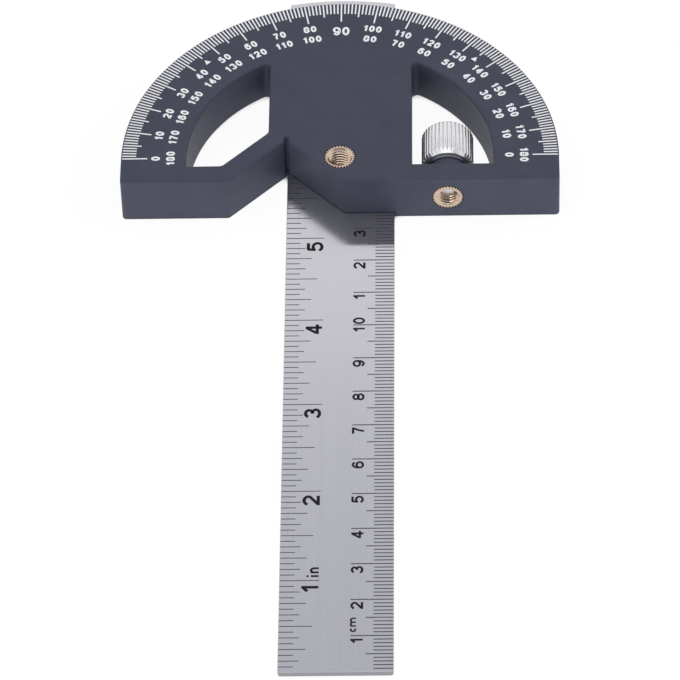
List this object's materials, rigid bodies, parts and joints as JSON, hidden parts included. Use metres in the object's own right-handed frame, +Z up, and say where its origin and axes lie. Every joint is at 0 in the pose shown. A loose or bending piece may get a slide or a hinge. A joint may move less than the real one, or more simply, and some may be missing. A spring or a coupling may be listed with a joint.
{
  "type": "angle ruler",
  "caption": "Half-disc protractor head with a centre-finding V notch over a swinging steel ruler, with brass thread inserts and a knurled thumbscrew.",
  "frame": {"origin": "on the ruler's swing axis, in the plane that the tool rests on", "axes": "+X to the right of the head, +Y from the ruler's straight end towards the protractor's rim, +Z up"},
  "size_m": [0.1006, 0.2048, 0.0122],
  "materials": {
    "head_plastic": "fine matte moulding",
    "ruler_steel": "satin",
    "insert_brass": "machined",
    "knob_nickel": "bright plated",
    "screw_steel": "plain",
    "washer_steel": "dark plated",
    "washer_nylon": "plain"
  },
  "bodies": {
    "head": {"protractor_head": "head_plastic", "pivot_insert": "insert_brass", "fence_insert": "insert_brass", "pivot_screw": "screw_steel", "pivot_washer": "washer_nylon"},
    "ruler": {"steel_ruler": "ruler_steel"},
    "screw_washer": {"thumbscrew_washer": "washer_steel"},
    "thumbscrew": {"thumbscrew_knob": "knob_nickel", "thumbscrew_stud": "screw_steel"}
  },
  "joints": [
    {"name": "ruler_swing", "type": "hinge", "parent": "head", "child": "ruler", "pos_m": [0, 0, 0], "axis": [0, 0, -1], "range_deg": [0, 25]},
    {"name": "thumbscrew_travel", "type": "slide", "parent": "head", "child": "screw_washer", "axis": [0, 1, 0], "range_m": [0, 0.0024]},
    {"name": "thumbscrew_turn", "type": "hinge", "parent": "screw_washer", "child": "thumbscrew", "pos_m": [0.0247, 0, 0.0061], "axis": [0, 1, 0], "range_deg": [0, 1080]}
  ],
  "couplings": [
    {"joint": "thumbscrew_turn", "follows": "thumbscrew_travel", "rad_per_m": 7854}
  ]
}
